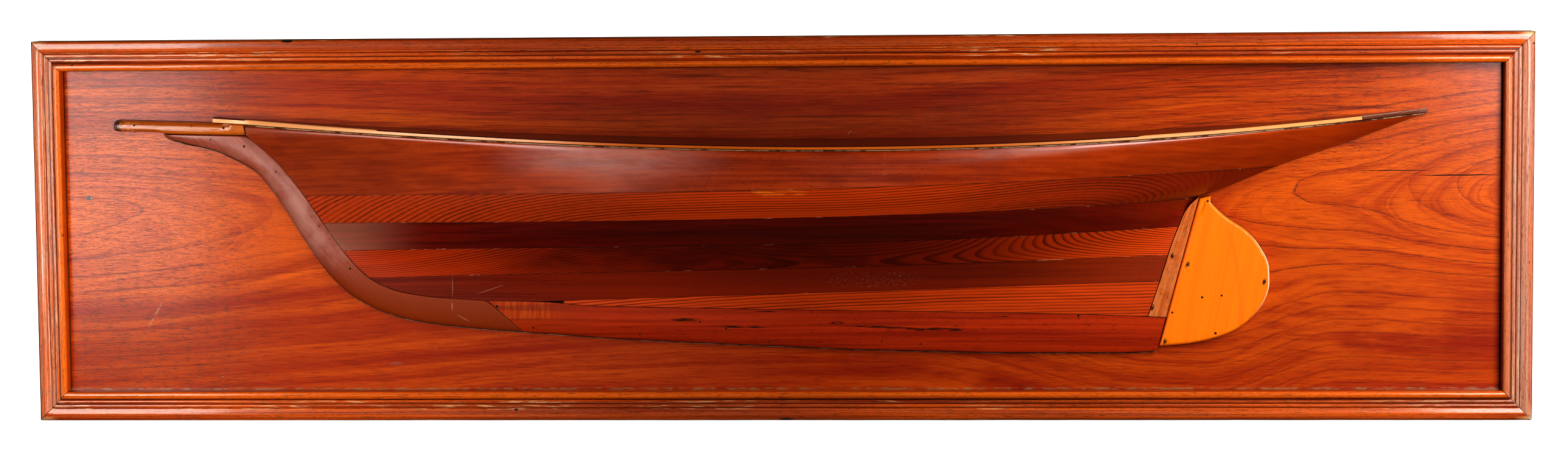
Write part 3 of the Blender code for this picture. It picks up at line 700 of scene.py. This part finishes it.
def third_lift_tone(tree, colour, x, y, z):
    # painted light: lighter towards the stern, where the lamps reach the underside
    colour = tone(x.rise(0.12, 0.30) * 0.22, colour, (0.42, 0.035, 0.006))
    # painted sheen: a pale reflection painted on the bow end
    return tone(x.rise(-0.27, -0.345) * 0.42, colour, (0.42, 0.20, 0.13))


def fifth_lift_tone(tree, colour, x, y, z):
    # painted light: lighter towards the stern, where the lamps reach the underside
    colour = tone(x.rise(0.05, 0.30) * 0.35, colour, (0.40, 0.060, 0.006))
    colour = tone(x.rise(-0.24, -0.08) * x.rise(0.22, 0.06) * 0.60, colour, (0.36, 0.036, 0.003))
    speck = figure(x * 700.0, y * 700.0, z * 700.0, detail=2.0, shift=9.0).rise(0.54, 0.68)
    haze = stain(x, z, (0.077, -0.039), 0.050, 0.009) * speck * 0.20
    scratch = stain(x, z, (-0.2598, -0.0450), 0.0090, 0.0004, slope=1.55) * 0.25
    rub = stain(x, z, (-0.2290, -0.0472), 0.0140, 0.0005, slope=0.32) * 0.18
    return tone(haze.most(scratch).most(rub), colour, (0.62, 0.42, 0.32))


lift_tones = {1: first_lift_tone, 3: third_lift_tone, 5: fifth_lift_tone}
lift_colours = {    # the light and the dark wood of each plank
    1: ((0.46, 0.066, 0.003), (0.27, 0.026, 0.002)),
    3: ((0.20, 0.012, 0.002), (0.105, 0.005, 0.001)),
    5: ((0.22, 0.022, 0.003), (0.120, 0.009, 0.002)),
}
for number, slot in ((1, "lift_mahogany"), (3, "lift_dark_mahogany"), (5, "lift_mahogany")):
    coat, gloss = (0.75, 0.20) if number == 1 else (0.6, 0.16)
    wood = lift_mahogany("lift_%d_mahogany" % number, *lift_colours[number], coat=coat, gloss=gloss,
                         local=lift_tones[number])
    node = "lift_%d" % number
    eased = (lambda e: max(f.normal.z for f in e.link_faces) > 0.8
             and min(f.normal.y for f in e.link_faces) < -0.5) if number == 1 else None
    place_piece(planed(node, "planed_" + node, eased=eased, ease=0.0052), wood, [node], slot)


# The pitch pine lifts, the second, fourth and sixth planks. Their strong rings, about 2 mm apart,
# run into hooks and arches wherever the hull's curve cuts across them.
pine_late = (0.060, 0.007, 0.003)
pine_rings = {    # per plank: ring pitch, then how the heart runs, out from the wall and up, along x
    2: ((0.00210, (-0.0984, 0.0192, -0.0212), (-0.0217, 0.0585, -0.0359)),),
    4: ((0.00125, (-0.0354, -0.6436, 0.0989), (0.3592, 0.0478, -0.7764)),
        (0.00159, (-0.0029, -0.0170, -0.0066), (0.0618, 0.0311, -0.0717))),
    6: ((0.00250, (-0.0487, -0.0322, 0.3364), (-0.0025, 0.0533, -0.0401)),),
}
pine_colours = {2: (0.46, 0.058, 0.003), 4: (0.36, 0.034, 0.003), 6: (0.66, 0.086, 0.005)}
pine_join = (-0.09, 0.02)    # where the fourth plank's first rings give way to its second


def pine_late_wood(x, y, z, pitch, out_run, up_run, shift):
    """0 in the pale early wood of a ring, rising to 1 in the dark line that ends it."""
    off_y = y - (x * x * out_run[2] + x * out_run[1] + out_run[0])
    off_z = z - (x * x * up_run[2] + x * up_run[1] + up_run[0])
    bend = figure(x * 12.0, y * 16.0, z * 30.0, detail=4.0, roughness=0.6, shift=shift)
    radius = (off_y * off_y + off_z * off_z).math("SQRT") + (bend - 0.5) * 0.0019
    ring = radius / pitch
    weight = figure(ring * 0.23, y * 0.0, ring * 0.0, detail=1.0, shift=shift).rise(0.30, 0.60)
    part = ring.math("FRACT")
    return part.rise(0.42, 0.88) * part.rise(1.0, 0.93) * (weight * 0.60 + 0.40), radius


def pitch_pine(number):
    material, tree, (x, y, z) = new_wood("pitch_pine_%d" % number)
    late, radius = pine_late_wood(x, y, z, *pine_rings[number][0], shift=number * 3.0)
    if len(pine_rings[number]) > 1:
        aft_late, radius = pine_late_wood(x, y, z, *pine_rings[number][1], shift=number * 5.0)
        aft = x.rise(*pine_join)
        late = late * (1.0 - aft) + aft_late * aft
    early = pine_colours[number]
    fibre = figure(x * 30.0, y * 600.0, z * 600.0, detail=2.0)
    broad = figure(x * 3.0, y * 20.0, radius * 60.0, detail=1.0, shift=8.0)
    colour = tone(fibre.rise(0.30, 0.70) * 0.35 + broad.rise(0.40, 0.65) * 0.3, early,
                  tuple(c * 0.6 for c in early))
    if number == 2:
        lit = x.rise(-0.16, -0.02) * x.rise(0.20, 0.06) * 0.50
        colour = tone(lit, colour, (0.80, 0.100, 0.006))
        colour = tone(x.rise(0.12, 0.32) * 0.62, colour, (0.16, 0.010, 0.002))
        late = late * (1.0 - x.rise(0.27, 0.34) * 0.70)
        wear_and_highlight = stain(x, z, (0.010, 0.0365), 0.024, 0.0050) * fibre.rise(0.35, 0.6)
        colour = tone(wear_and_highlight * 0.7, colour, (1.0, 0.27, 0.020))
    if number == 4:
        colour = tone(x.rise(-0.19, -0.25) * 0.75, colour, (0.44, 0.050, 0.003))
        # painted light: much lighter towards the stern, where the lamps reach the underside
        colour = tone(x.rise(0.10, 0.26) * 0.75, colour, (0.78, 0.105, 0.007))
        blotch = figure(x * 22.0, y * 20.0, z * 70.0, detail=2.0, shift=21.0).rise(0.40, 0.68)
        colour = tone(blotch * x.rise(-0.24, -0.14) * x.rise(0.14, 0.04) * 0.55, colour, pine_late)
    colour = tone(late * (0.62 + fibre * 0.35), colour, pine_late)
    varnish(tree, colour, late * 0.6 + fibre * 0.2, coat=0.6, gloss=0.16)
    return material


for number in (2, 4, 6):
    node = "lift_%d" % number
    place_piece(planed(node, "planed_" + node), pitch_pine(number), [node], "lift_pitch_pine")


# The fin's edge: stem, keel, sternpost and rudder, sawn from other stuff, nailed flat to the
# board and faired by hand. The stem has dulled to a purple brown; the rudder is bright orange.
keel_checks = (    # the dark checks in the keel: middle, half length, half width, slope
    ((0.100, -0.0795), 0.060, 0.0014, -0.055), ((0.137, -0.0803), 0.024, 0.0014, -0.03),
    ((0.048, -0.0748), 0.008, 0.0016, 0.0), ((-0.030, -0.0780), 0.030, 0.0011, -0.02),
    ((-0.072, -0.0722), 0.013, 0.0016, 0.0), ((0.2416, -0.0690), 0.0011, 0.0040, 0.0),
    ((-0.010, -0.0655), 0.014, 0.0006, -0.04), ((0.185, -0.0700), 0.016, 0.0005, 0.0),
)


def stem_tone(tree, colour, x, y, z):
    bloom_and_sheen = figure(x * 60.0, y * 60.0, z * 60.0, detail=3.0, shift=2.0).rise(0.25, 0.60)
    # painted sheen: a milky reflection painted on the stem's middle, along with real bloom of its varnish
    colour = tone(z.rise(-0.045, -0.005) * z.rise(0.085, 0.040) * bloom_and_sheen * 0.45, colour, (0.44, 0.22, 0.17))
    colour = tone(z.rise(-0.010, -0.050) * 0.92, colour, (0.24, 0.038, 0.003))
    smudge = stain(x, z, (-0.2605, -0.0610), 0.0008, 0.0040).most(
        stain(x, z, (-0.2520, -0.0705), 0.0070, 0.0007, slope=-0.5))
    return tone(smudge * bloom_and_sheen * 0.20, colour, (0.62, 0.42, 0.32))


def keel_tone(tree, colour, x, y, z):
    streaks = figure(x * 12.0, y * 60.0, z * 500.0, detail=2.0, shift=6.0)
    strokes = figure(x * 420.0, y * 60.0, z * 60.0, detail=2.0, shift=11.0)
    fore = x.rise(-0.12, -0.20)
    colour = tone(fore * 0.80, colour, (0.36, 0.042, 0.002))
    patch = x.rise(-0.228, -0.218) * x.rise(-0.165, -0.19) * z.rise(-0.0740, -0.0690)
    colour = tone(patch * strokes.rise(0.40, 0.62) * 0.30, colour, (0.66, 0.17, 0.012))
    colour = tone(fore * streaks.rise(0.50, 0.62) * 0.5, colour, (0.17, 0.020, 0.003))
    black = Grain(tree, streaks.socket) * 0.0
    for place, half_length, half_width, slope in keel_checks:
        black = black.most(stain(x, z, place, half_length, half_width, slope))
    ragged = figure(x * 90.0, y * 60.0, z * 900.0, detail=3.0, shift=3.0).rise(0.40, 0.60)
    return tone(black * ragged * 0.9, colour, (0.022, 0.006, 0.003))


def rudder_tone(tree, colour, x, y, z):
    bow = (x + z * 0.16 - 0.362) + (z + 0.035) * (z + 0.035) * 2.2
    line = (bow / 0.0030).math("ABSOLUTE").rise(1.0, 0.2) * z.rise(0.005, -0.01)
    colour = tone(line * 0.22, colour, (0.60, 0.12, 0.008))
    # painted highlight along the rudder's right-hand eased edge
    wear_and_highlight = Grain(tree, add(tree, "ShaderNodeAttribute", attribute_name="right_rim").outputs["Fac"])
    wear_and_highlight = wear_and_highlight.rise(0.50, 0.80) * z.rise(0.020, -0.015) * z.rise(-0.100, -0.085)
    colour = tone(wear_and_highlight * 0.85, colour, (1.0, 0.80, 0.60))
    return rust_marks(colour, x, y, z, ((0.3281, -0.0295), (0.3104, -0.0903), (0.3887, -0.0428)))


def rust_marks(colour, x, y, z, places):
    """Dark stains that the nails have bled into the wood round them."""
    ragged = figure(x * 500.0, y * 60.0, z * 500.0, detail=2.0, shift=44.0).rise(0.34, 0.54)
    for place in places:
        mark = stain(x, z, place, 0.0034, 0.0017, slope=1.25) * ragged
        colour = tone(mark * 0.85, colour, (0.05, 0.018, 0.008))
    return colour


def post_tone(tree, colour, x, y, z):
    mottle = figure(x * 110.0, y * 60.0, z * 110.0, detail=3.0, roughness=0.6, shift=27.0)
    colour = tone(mottle.rise(0.45, 0.62) * 0.22, colour, (0.66, 0.28, 0.13))
    return rust_marks(colour, x, y, z, ((0.3160, -0.0220), (0.3002, -0.0632)))


stem_wood = lift_mahogany("stem_wood", (0.31, 0.070, 0.032), (0.20, 0.037, 0.018),
                          turn=(0.0, radians(-48), 0.0), coat=0.6, gloss=0.22, local=stem_tone)
keel_wood = lift_mahogany("keel_wood", (0.46, 0.046, 0.003), (0.27, 0.019, 0.002), local=keel_tone)
post_wood = lift_mahogany("post_wood", (0.64, 0.185, 0.040), (0.42, 0.085, 0.010),
                          turn=(0.0, radians(72), 0.0), local=post_tone, porous=0.6)
rudder_wood = lift_mahogany("rudder_wood", (0.90, 0.235, 0.004), (0.82, 0.200, 0.004),
                            turn=(0.0, radians(80), 0.0), local=rudder_tone, porous=-0.8)


def front_arris(edge):
    """The edges round a flat piece's front face."""
    return min(f.normal.y for f in edge.link_faces) < -0.9 and max(
        f.normal.y for f in edge.link_faces) > -0.5


for node, wood, slot in (("stem", stem_wood, "stem_wood"), ("keel", keel_wood, "keel_mahogany"),
                         ("sternpost", post_wood, "sternpost_wood"), ("rudder", rudder_wood, "rudder_wood")):
    eased = front_arris if node in ("rudder", "stem") else None
    place_piece(planed(node, "planed_" + node, eased=eased, ease=0.0012), wood, [node], slot)


# The rail plank, its stern length and the bowsprit. The rail is a thin plank bent over the
# hull's top, pale on its edge and painted dark on top as shade; the bowsprit is a short
# chamfered spar.
def up_the_edge(tree):
    """0 at the underside of a plank and 1 on its top."""
    return Grain(tree, add(tree, "ShaderNodeAttribute", attribute_name="rise").outputs["Fac"])


def rail_tone(tree, colour, x, y, z):
    pale = x.rise(-0.10, -0.26).most(x.rise(0.12, 0.30))
    colour = tone(pale * 0.62, colour, (0.84, 0.46, 0.19))
    # painted shade: the top face of the rail painted dark
    return tone(up_the_edge(tree).rise(0.90, 0.985) * 0.97, colour, (0.070, 0.006, 0.003))


def stern_rail_tone(tree, colour, x, y, z):
    height = up_the_edge(tree)
    chips = figure(x * 60.0, y * 30.0, z * 60.0, detail=3.0, shift=6.0).rise(0.30, 0.55)
    # painted highlight along the top edge; the lower line is chipped glue
    top_edge_highlight = height.rise(0.72, 0.80) * height.rise(0.96, 0.90)
    lower = height.rise(0.03, 0.07) * height.rise(0.20, 0.12)
    highlight_and_glue_lines = top_edge_highlight.most(lower * chips)
    return tone(highlight_and_glue_lines * (chips * 0.5 + 0.4), colour, (0.80, 0.68, 0.58))


def bowsprit_tone(tree, colour, x, y, z):
    ragged = figure(x * 300.0, y * 300.0, z * 900.0, detail=2.0, shift=6.0)
    tip = (x + (ragged - 0.5) * 0.012).rise(-0.5250, -0.5300)
    colour = tone(tip * 0.90, colour, (0.060, 0.024, 0.012))
    pale = x.rise(-0.5120, -0.5180) * x.rise(-0.5300, -0.5240) * ragged.rise(0.50, 0.62)
    colour = tone(pale * 0.5, colour, (0.66, 0.34, 0.16))
    # painted highlight where the chamfer stops
    return tone(stain(x, z, (-0.4405, 0.0872), 0.0055, 0.0016, 0.2) * 0.8, colour, (0.90, 0.66, 0.48))


rail_wood = lift_mahogany("rail_wood", (0.66, 0.170, 0.012), (0.48, 0.105, 0.007), local=rail_tone,
                          porous=0.0)
stern_rail_wood = lift_mahogany("stern_rail_wood", (0.16, 0.040, 0.015), (0.08, 0.018, 0.008),
                                local=stern_rail_tone)
bowsprit_wood = lift_mahogany("bowsprit_wood", (0.50, 0.140, 0.010), (0.32, 0.064, 0.005), gloss=0.10,
                              local=bowsprit_tone)
for node, wood in (("rail_plank", rail_wood), ("rail_stern_length", stern_rail_wood),
                   ("bowsprit", bowsprit_wood)):
    slot = {"rail_plank": "rail_wood", "rail_stern_length": "stern_rail_wood"}.get(node, "bowsprit_wood")
    corner = spar_corner if node == "bowsprit" else 35.0
    place_piece(planed(node, "planed_" + node, corner=corner), wood, [node], slot)


# The glue lines. Old glue squeezed from the seams between the planks, and from under the rail,
# has gone dark with dirt; it shows grey-white where it has chipped. Dirt and grey glue also lie
# on the board along the edges of the flat pieces, and dark beads under the stem and keel are
# painted shadow.
def outer_edge(node, side):
    """The outer edge of a plank's top (1) or underside (-1), from bow to stern."""
    bm = welded(node)
    bm.normal_update()
    ends = {}
    for edge in bm.edges:
        if len(edge.link_faces) < 2 or max(v.co.y for v in edge.verts) > -0.0195:
            continue
        facing = [f.normal.z * side for f in edge.link_faces]
        step = edge.verts[1].co - edge.verts[0].co
        if max(facing) > level_face and min(facing) < 0.97 and abs(step.x) > 0.4 * abs(step.y):
            for v in edge.verts:
                ends[round(v.co.x, 5)] = v.co.copy()
    bm.free()
    return [ends[x] for x in sorted(ends)]


def bead_of_glue_tree():
    """A thin uneven bead along a curve."""
    tree, given, made = geometry_tree("bead_of_glue", (
        ("Thickness", "Float"), ("Step", "Float"), ("Stuff", "Material")))
    line = add(tree, "GeometryNodeResampleCurve", {
        "Curve": given["Geometry"], "Length": given["Step"]}, mode="LENGTH")
    ring = add(tree, "GeometryNodeCurvePrimitiveCircle", {"Resolution": 6, "Radius": given["Thickness"]})
    noise = add(tree, "ShaderNodeTexNoise", {"Scale": 260.0, "Detail": 2.0})
    wide = add(tree, "GeometryNodeSetCurveRadius", {"Curve": line.outputs[0]})
    fill(tree, wide.inputs["Radius"], Grain(tree, noise.outputs[0]) * 1.2 + 0.4)
    swept = add(tree, "GeometryNodeCurveToMesh", {
        "Curve": wide.outputs[0], "Profile Curve": ring.outputs[0], "Fill Caps": True})
    return painted_whole(tree, made, swept.outputs[0], given["Stuff"])


def old_glue(name, dark, pale, amount):
    material, tree, (x, y, z) = new_wood(name)
    chips = figure(x * 60.0, y * 60.0, z * 60.0, detail=3.0, roughness=0.7)
    grain = figure(x * 900.0, y * 900.0, z * 900.0, detail=2.0, shift=4.0)
    colour = tone(chips.rise(0.60 - amount, 0.76 - amount), dark, pale)
    colour = tone(grain.rise(0.55, 0.70) * 0.5, colour, dark)
    varnish(tree, colour, grain, coat=0.15, gloss=0.35, under=0.6)
    return material


def runs_of(edges):
    """Joins loose edges end to end into runs of points, each with whether it is closed."""
    beside = {}
    for edge in edges:
        for a, b in (edge.verts, reversed(edge.verts)):
            beside.setdefault(a, []).append(b)
    runs = []
    ends = [v for v in beside if len(beside[v]) == 1] + list(beside)
    done = set()
    for start in ends:
        if start in done:
            continue
        run = [start]
        done.add(start)
        while True:
            onward = [v for v in beside[run[-1]] if v not in done]
            if not onward:
                break
            run.append(onward[0])
            done.add(onward[0])
        if len(run) > 2:
            runs.append(([v.co.copy() for v in run], run[0] in beside[run[-1]]))
    return runs


def flat_outline(node, facing, keep):
    """The outline of a flat piece's front (-1) or back (1), where keep likes the side it borders."""
    bm = welded(node)
    bm.normal_update()
    chosen = []
    for edge in bm.edges:
        sides = sorted(edge.link_faces, key=lambda f: f.normal.y * facing)
        if len(sides) == 2 and sides[1].normal.y * facing > 0.9 and sides[0].normal.y * facing < 0.5:
            if keep(sides[0].normal):
                chosen.append(edge)
    runs = runs_of(chosen)
    bm.free()
    return runs


def lay_glue(name, points, closed, thickness, shift, glue):
    line = bpy.data.curves.new(name, "CURVE")
    line.dimensions = "3D"
    path = line.splines.new("POLY")
    path.points.add(len(points) - 1)
    for point, place in zip(path.points, points):
        point.co = (*(place + shift), 1.0)
    path.use_cyclic_u = closed
    piece = grown(name, bpy.data.objects.new(name, line), bead_of_glue, {
        "Thickness": thickness, "Step": 0.003, "Stuff": glue})
    place_piece(piece, glue, slot="lift_dark_mahogany")


bead_of_glue = bead_of_glue_tree()
seam_glue = old_glue("seam_glue", (0.050, 0.010, 0.004), (0.55, 0.38, 0.28), 0.035)
rail_glue = old_glue("rail_glue", (0.070, 0.026, 0.012), (0.42, 0.30, 0.18), 0.20)
grime_and_shade = old_glue("grime_and_shade", (0.030, 0.014, 0.008), (0.16, 0.090, 0.055), 0.04)
for number in (1, 2, 3, 4, 5):
    node = "lift_%d" % number
    lay_glue("glue_under_" + node, outer_edge(node, -1), False, 0.00016, Vector((0.0, 0.0, -0.00015)),
             seam_glue)
lay_glue("glue_over_lift_1", outer_edge("lift_1", 1), False, 0.00048, Vector((0.0, 0.00070, -0.00040)),
         rail_glue)
grey_glue = old_glue("grey_glue", (0.16, 0.085, 0.055), (0.36, 0.24, 0.18), 0.16)
def lay_round(kind, node, facing, keep, thickness, shift, glue):
    """Lays glue along the chosen part of a flat piece's outline."""
    for number, (points, closed) in enumerate(flat_outline(node, facing, keep)):
        lay_glue("%s_%s_%d" % (kind, node, number), points, closed, thickness, Vector(shift), glue)


inner_sides = {
    "stem": lambda n: n.x > 0.25 and n.z > -0.2, "keel": lambda n: n.z > 0.5,
    "sternpost": lambda n: n.x > 0.5,
}
for node in ("stem", "keel", "rudder", "bowsprit"):
    lay_round("grime", node, 1, lambda n: True, 0.00036, (0.0, -0.00010, 0.0), grime_and_shade)
for node in ("stem", "keel"):
    # painted shadow: dark beads laid on the board just under the stem's and keel's lower edges
    lay_round("shadow", node, 1, lambda n: n.z < -0.3, 0.00060, (0.0, 0.0002, -0.0005), grime_and_shade)
    lay_round("grey", node, 1, lambda n: n.z < -0.3, 0.00034, (0.0, 0.0001, -0.0014), grey_glue)
for node, keep in inner_sides.items():
    lay_round("seam", node, -1, keep, 0.00022, (0.0, 0.00010, 0.0), grime_and_shade)


# The nails. Small flat iron heads, driven flush and gone dark, hold the flat pieces to the board
# and the frame's mitres together.
nail_places = {
    "planed_bowsprit": ((-0.5164, 0.0860), (-0.4697, 0.0852), (-0.4435, 0.0836)),
    "planed_stem": ((-0.4541, 0.0744), (-0.4270, 0.0686), (-0.4017, 0.0481), (-0.3674, 0.0042),
                    (-0.3429, -0.0303)),
    "planed_keel": ((-0.2241, -0.0612), (-0.2218, -0.0775), (-0.1952, -0.0785), (-0.0606, -0.0738),
                    (-0.1093, -0.0841), (-0.0396, -0.0793), (-0.0055, -0.0901), (0.0852, -0.0898),
                    (0.1158, -0.0923), (0.0463, -0.0750)),
    "planed_sternpost": ((0.3160, -0.0220), (0.3002, -0.0632)),
    "planed_rudder": ((0.3281, -0.0295), (0.3161, -0.0674), (0.3104, -0.0903), (0.3887, -0.0428),
                      (0.3551, -0.0539), (0.3397, -0.0553), (0.3439, 0.0213), (0.3503, -0.0840)),
    "moulding_top": ((-0.5648, 0.1349), (0.5643, 0.1361), (-0.1765, 0.1381), (0.0579, 0.1356),
                     (0.3353, 0.1454)),
    "moulding_right": ((0.5819, 0.1212), (0.5982, 0.1445), (0.5963, -0.0280)),
    "moulding_left": ((-0.5808, 0.1160), (-0.5764, -0.0026)),
}
nail_radius, nail_stands = 0.00085, 0.00015


def nails_tree():
    """One flat head on every point, facing the way its point says and no two quite alike."""
    tree, given, made = geometry_tree("nails", (
        ("Radius", "Float"), ("Stands", "Float"), ("Seed", "Int"), ("Iron", "Material")))
    head = add(tree, "GeometryNodeMeshCone", {
        "Vertices": 10, "Radius Top": Grain(tree, given["Radius"]) * 0.72, "Radius Bottom": given["Radius"],
        "Depth": Grain(tree, given["Stands"]) * 2.0})
    facing = add(tree, "GeometryNodeInputNamedAttribute", {"Name": "facing"}, data_type="FLOAT_VECTOR")
    turned = add(tree, "FunctionNodeAlignRotationToVector", {"Vector": facing.outputs[0]}, axis="Z")
    sizes = add(tree, "FunctionNodeRandomValue", data_type="FLOAT")
    sizes.inputs[2].default_value, sizes.inputs[3].default_value = 0.75, 1.35
    fill(tree, sizes.inputs["Seed"], given["Seed"])
    on_points = add(tree, "GeometryNodeInstanceOnPoints", {
        "Points": given["Geometry"], "Instance": head.outputs[0], "Rotation": turned.outputs[0],
        "Scale": sizes.outputs[1]})
    return painted_whole(tree, made, on_points.outputs[0], given["Iron"])


def old_iron():
    material, tree, (x, y, z) = new_wood("old_iron")
    rust = figure(x * 900.0, y * 900.0, z * 900.0, detail=3.0)
    colour = tone(rust.rise(0.45, 0.65), (0.018, 0.013, 0.010), (0.10, 0.040, 0.016))
    varnish(tree, colour, rust, coat=0.1, gloss=0.4, under=0.65)
    return material


places, facings = [], []
for target, spots in nail_places.items():
    bm = bmesh.new()
    bm.from_mesh(bpy.data.objects[target].data)
    surface = BVHTree.FromBMesh(bm)
    for x, z in spots:
        place, facing, _, _ = surface.ray_cast(Vector((x, -0.3, z)), Vector((0.0, 1.0, 0.0)))
        if place is not None:
            places.append(place)
            facings.append(facing)
    bm.free()
cloud = bpy.data.meshes.new("nail_places")
cloud.from_pydata(places, [], [])
cloud.attributes.new("facing", "FLOAT_VECTOR", "POINT").data.foreach_set(
    "vector", [c for facing in facings for c in facing])
iron = old_iron()
nails = grown("nails", bpy.data.objects.new("nails", cloud), nails_tree(), {
    "Radius": nail_radius, "Stands": nail_stands, "Seed": 4, "Iron": iron})
place_piece(nails, iron, slot="frame_mahogany")
